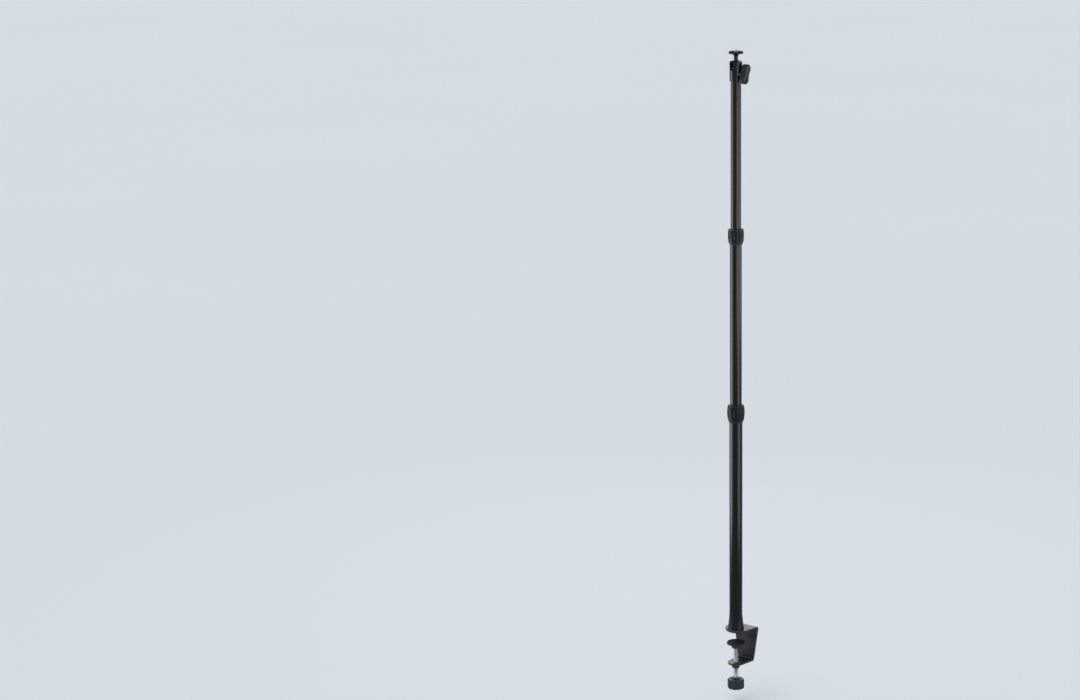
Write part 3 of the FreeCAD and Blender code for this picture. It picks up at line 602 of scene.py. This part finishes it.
def make_grip(node, body, radii):
    """A lock's rubber grip: a fluted barrel with rounded edges."""
    core, bottom_radius, middle_radius, top_radius = radii
    bottom, top = (corner[2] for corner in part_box(node))

    def barrel(height):
        """The radius at a height, on the curve through the barrel's three radii."""
        share = (height - bottom) / (top - bottom)
        return (bottom_radius * (1 - share) * (1 - 2 * share) + 4 * middle_radius * share * (1 - share)
                + top_radius * share * (2 * share - 1))

    def shape(radius, height, angle):
        if radius == core:
            return core
        centre = middle_radius + grip_flute_radius - grip_flute_depth
        hollow = flute(grip_flutes, centre, grip_flute_radius, angle)
        if hollow is None:
            return radius
        return max(soft_minimum(radius, hollow, grip_flute_softness), core)

    heights = span(bottom + grip_edge, top - grip_edge, grip_steps)
    lower_centre = (barrel(heights[0]) - grip_edge, heights[0])
    upper_centre = (barrel(heights[-1]) - grip_edge, heights[-1])
    profile = [(core, bottom)]
    profile += arc(lower_centre, grip_edge, -90, 0, grip_edge_steps)
    profile += [(barrel(height), height) for height in heights[1:-1]]
    profile += arc(upper_centre, grip_edge, 0, 90, grip_edge_steps)
    profile += [(core, top)]
    points, faces = lathe(profile, grip_sides, shape, closed=True)
    add_piece(node + "_fluted", points, faces, grip_rubber, body, [node])


def make_round_pad(node, body, bore):
    """A round rubber pad with ring grooves in its upper face, and a bore where it has one."""
    low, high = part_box(node)
    radius = (high[0] - low[0]) / 2
    bottom, top = low[2], high[2]
    profile = [(radius - pad_edge, bottom), (radius, bottom + pad_edge), (radius, top - pad_edge)]
    profile += [(radius - pad_edge, top)]
    middle = radius - pad_border - groove_width / 2
    while middle > bore + pad_border:
        profile += [
            (middle + groove_width / 2, top),
            (middle + groove_floor_width / 2, top - groove_depth),
            (middle - groove_floor_width / 2, top - groove_depth),
            (middle - groove_width / 2, top),
        ]
        middle -= groove_pitch
    if bore:
        profile += [(bore, top), (bore, bottom)]
    else:
        profile += [(pad_edge, top)]
    points, faces = lathe(profile, pad_sides, closed=bool(bore))
    add_piece(node + "_grooved", points, faces, pad_rubber, body, [node])


def make_jaw_pad():
    """The pad under the tongue, with a round nose and lines of grooves across its lower face."""
    low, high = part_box("upper_jaw_pad")
    nose_y = low[1] + jaw_pad_nose
    first_groove = low[1] + pad_border

    def half_width(y):
        if y < nose_y:
            return math.sqrt(jaw_pad_nose ** 2 - (nose_y - y) ** 2)
        return jaw_pad_nose + (high[0] - jaw_pad_nose) * (y - nose_y) / (high[1] - nose_y)

    def face_height(y):
        into = (y - first_groove) % jaw_groove_pitch
        if y < first_groove or y > high[1] - pad_border or into > jaw_groove_width:
            return low[2]
        return low[2] + groove_depth * min(1, min(into, jaw_groove_width - into) / jaw_groove_slope)

    places = [nose_y - jaw_pad_nose * math.cos(math.radians(turn))
              for turn in span(jaw_pad_tip, 90, jaw_pad_steps)]
    groove = first_groove
    while groove + jaw_groove_width < high[1] - pad_border:
        places += [groove, groove + jaw_groove_slope]
        places += [groove + jaw_groove_width - jaw_groove_slope, groove + jaw_groove_width]
        groove += jaw_groove_pitch
    places.append(high[1])
    places.sort()
    points = []
    for y in places:
        wide = half_width(y)
        bottom = face_height(y)
        points += [(-wide, y, high[2]), (wide, y, high[2]), (wide, y, bottom), (-wide, y, bottom)]
    faces = join_rings(len(places), 4)
    add_piece("upper_jaw_pad_grooved", points, faces, pad_rubber, "base", ["upper_jaw_pad"])


def make_clamp_knob():
    """The clamp's fluted knob with soft edges, its neck, and the recess of its cap."""
    bottom, top = (corner[2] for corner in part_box("clamp_knob"))
    shoulder = top - knob_neck_height
    shoulder_edge = shoulder - knob_edge
    bottom_edge = bottom + knob_edge
    neck_top = (knob_neck_radius - knob_neck_edge, top - knob_neck_edge)
    neck_foot = (knob_neck_radius + knob_neck_edge, shoulder + knob_neck_edge)
    profile = [(knob_bore, bottom + knob_cap_depth)]
    profile += [(knob_cap_recess, bottom + knob_cap_depth), (knob_cap_recess, bottom)]
    profile += arc((knob_radius - knob_edge, bottom_edge), knob_edge, -90, 0, knob_edge_steps)
    profile += [(knob_radius, height) for height in span(bottom_edge, shoulder_edge, knob_steps)[1:-1]]
    profile += arc((knob_radius - knob_edge, shoulder_edge), knob_edge, 0, 90, knob_edge_steps)
    profile += arc(neck_foot, knob_neck_edge, 270, 180, knob_neck_edge_steps)
    profile += arc(neck_top, knob_neck_edge, 0, 90, knob_neck_edge_steps)
    profile += [(knob_bore, top)]

    def shape(radius, height, angle):
        centre = knob_radius + knob_flute_radius - knob_flute_depth
        hollow = flute(knob_flutes, centre, knob_flute_radius, angle)
        if hollow is None or radius < knob_neck_radius + 2 * knob_neck_edge:
            return radius
        return soft_minimum(radius, hollow, knob_flute_softness)

    points, faces = lathe(profile, knob_sides, shape, closed=True)
    add_piece("clamp_knob_moulded", points, faces, knob_plastic, "handle", ["clamp_knob"])


def wing_outline(angle, inset):
    """How far the wing's outline, drawn in by an inset, is from its axis at an angle from its length."""
    lobe = wing_lobe_radius - inset
    centre = wing_length / 2 - wing_lobe_radius
    waist = wing_waist - inset
    hollow = (waist ** 2 + centre ** 2 - lobe ** 2) / (2 * (lobe - waist))
    along = abs(math.cos(angle))
    across = abs(math.sin(angle))
    touch = math.atan2((waist + hollow) * lobe, centre * hollow)
    if math.atan2(across, along) < touch:
        return centre * along + math.sqrt(lobe ** 2 - (centre * across) ** 2)
    return (waist + hollow) * across - math.sqrt(hollow ** 2 - ((waist + hollow) * along) ** 2)


def wing_rib(angle):
    """The depth of the grooves across the ends of both lobes, from 0 to 1."""
    off = (angle + math.pi / 2) % math.pi - math.pi / 2
    if abs(off) > wing_rib_spread:
        return 0.0
    wave = (1 + math.cos(math.pi * wing_ribs * off / wing_rib_spread)) / 2
    return (1 - wave ** 2) * min(1, (1 - abs(off) / wing_rib_spread) / wing_rib_fade)


def wing_dish_share(angle):
    """The depth of the dish at an angle, from 0 where the rim meets the cap's rim to 1 out on the lobes."""
    room = wing_outline(angle, wing_edge + wing_rim) - wing_cap_rim - wing_cap_slope
    return min(max(room / wing_dish_run, 0), 1)


# One ring of points round the wing knob's axis: its place along that axis, and either a fixed radius
# or its inset from the wing's outline, then its share of the ribs and how deep it lies in the dish
WingRing = namedtuple("WingRing", "x radius inset ribs dish", defaults=(None, 0, 0, 0))


def make_wing_knob():
    """The head's wing knob: dished lobes with ribbed ends on a short hub, and a recess for its cap."""
    low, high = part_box("head_lock_knob")
    start, outer = low[0], high[0]
    inner = start + wing_neck
    axis_z = (low[2] + high[2]) / 2
    middle = (inner + outer) / 2
    flat = (outer - inner) / 2 - wing_edge
    rings = [
        WingRing(inner + wing_bore_depth, wing_bore_radius),
        WingRing(start, wing_bore_radius),
        WingRing(start, wing_hub_radius - wing_hub_edge),
        WingRing(start + wing_hub_edge, wing_hub_radius),
        WingRing(inner, wing_hub_radius),
    ]
    for degrees in span(-90, 90, wing_edge_steps):
        turn = math.radians(degrees)
        place = middle + wing_edge * math.sin(turn)
        if degrees:
            place += math.copysign(flat, degrees)
        inset = wing_edge * (1 - math.cos(turn))
        rings.append(WingRing(place, inset=inset, ribs=math.sqrt(math.cos(turn))))
    for width, depth in wing_rim_fall:
        rings.append(WingRing(outer, inset=wing_edge + wing_rim * width, dish=wing_dish * depth))
    for width, depth in wing_cap_rise:
        rings.append(WingRing(outer, wing_cap_rim + wing_cap_slope * width, dish=wing_dish * depth))
    rings += [WingRing(outer, wing_cap_radius), WingRing(outer - wing_cap_depth, wing_cap_radius)]

    points = []
    for ring in rings:
        for side in range(wing_sides):
            angle = 2 * math.pi * side / wing_sides
            reach = ring.radius
            if reach is None:
                reach = wing_outline(angle, ring.inset) - wing_rib_depth * ring.ribs * wing_rib(angle)
                if ring.dish:
                    reach = max(reach, wing_cap_rim + wing_cap_slope)
            turn = angle + math.pi / 2 + wing_turn
            place = ring.x - ring.dish * wing_dish_share(angle)
            points.append((place, reach * math.cos(turn), axis_z + reach * math.sin(turn)))
    faces = join_rings(len(rings), wing_sides)
    add_piece("head_lock_knob_moulded", points, faces, wing_plastic, "knob",
              ["head_lock_knob"])


def make_nut_weld():
    """The bead of weld that joins the nut to the arm, with its ripples."""
    centre_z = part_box("screw_nut")[1][2] - weld_below_arm
    half_face = math.pi / nut_faces
    points = []
    for side in range(weld_sides):
        angle = 2 * math.pi * side / weld_sides
        offset = angle % (2 * half_face) - half_face
        reach = nut_radius * math.cos(half_face) / math.cos(offset)
        bead = weld_radius + weld_ripple_depth * math.sin(weld_ripples * angle)
        for step in range(weld_steps):
            turn = 2 * math.pi * step / weld_steps
            out = reach + bead * math.cos(turn)
            height = centre_z + min(bead * math.sin(turn), weld_reach_up)
            points.append((out * math.cos(angle), out * math.sin(angle), height))
    faces = []
    for side in range(weld_sides):
        here = side * weld_steps
        after = (side + 1) % weld_sides * weld_steps
        for step in range(weld_steps):
            other = (step + 1) % weld_steps
            faces.append((here + step, after + step, after + other, here + other))
    add_piece("nut_weld", points, faces, powder_coat, "base")


def make_floor():
    """The plain pale floor that the clamp's knob clears. What sees it directly sees it a little lighter."""
    corners = [(-1, -1), (1, -1), (1, 1), (-1, 1)]
    points = [(x * floor_reach, y * floor_reach, floor_height) for x, y in corners]
    mesh = bpy.data.meshes.new("floor")
    mesh.from_pydata(points, [], [(0, 1, 2, 3)])
    look = Look("floor", floor_roughness, specular=floor_specular)
    look.colour(look.noise(scale=0.7, detail=2), floor_dark, floor_light)
    strength = look.add("ShaderNodeMath", operation="MULTIPLY")
    strength.inputs[1].default_value = floor_glow
    look.link(seen_directly(look.tree), strength.inputs[0])
    look.shader.inputs["Emission Color"].default_value = backdrop_colour
    look.link(strength.outputs[0], look.shader.inputs["Emission Strength"])
    mesh.materials.append(look.material)
    floor = bpy.data.objects.new("floor", mesh)
    bpy.context.scene.collection.objects.link(floor)


paint_nodes()
make_clamp_screw()
make_clamp_knob()
make_nut_weld()
make_grip("lower_lock_grip", "lower_collar", lower_grip_radii)
make_grip("upper_lock_grip", "upper_collar", upper_grip_radii)
make_camera_screw()
make_jaw_pad()
make_round_pad("pressure_pad", "jaw", 0)
make_round_pad("platform_pad", "platform", platform_pad_bore)
make_wing_knob()
make_floor()
make_world()
make_lights()
make_camera()
bpy.context.scene.view_settings.view_transform = "Standard"
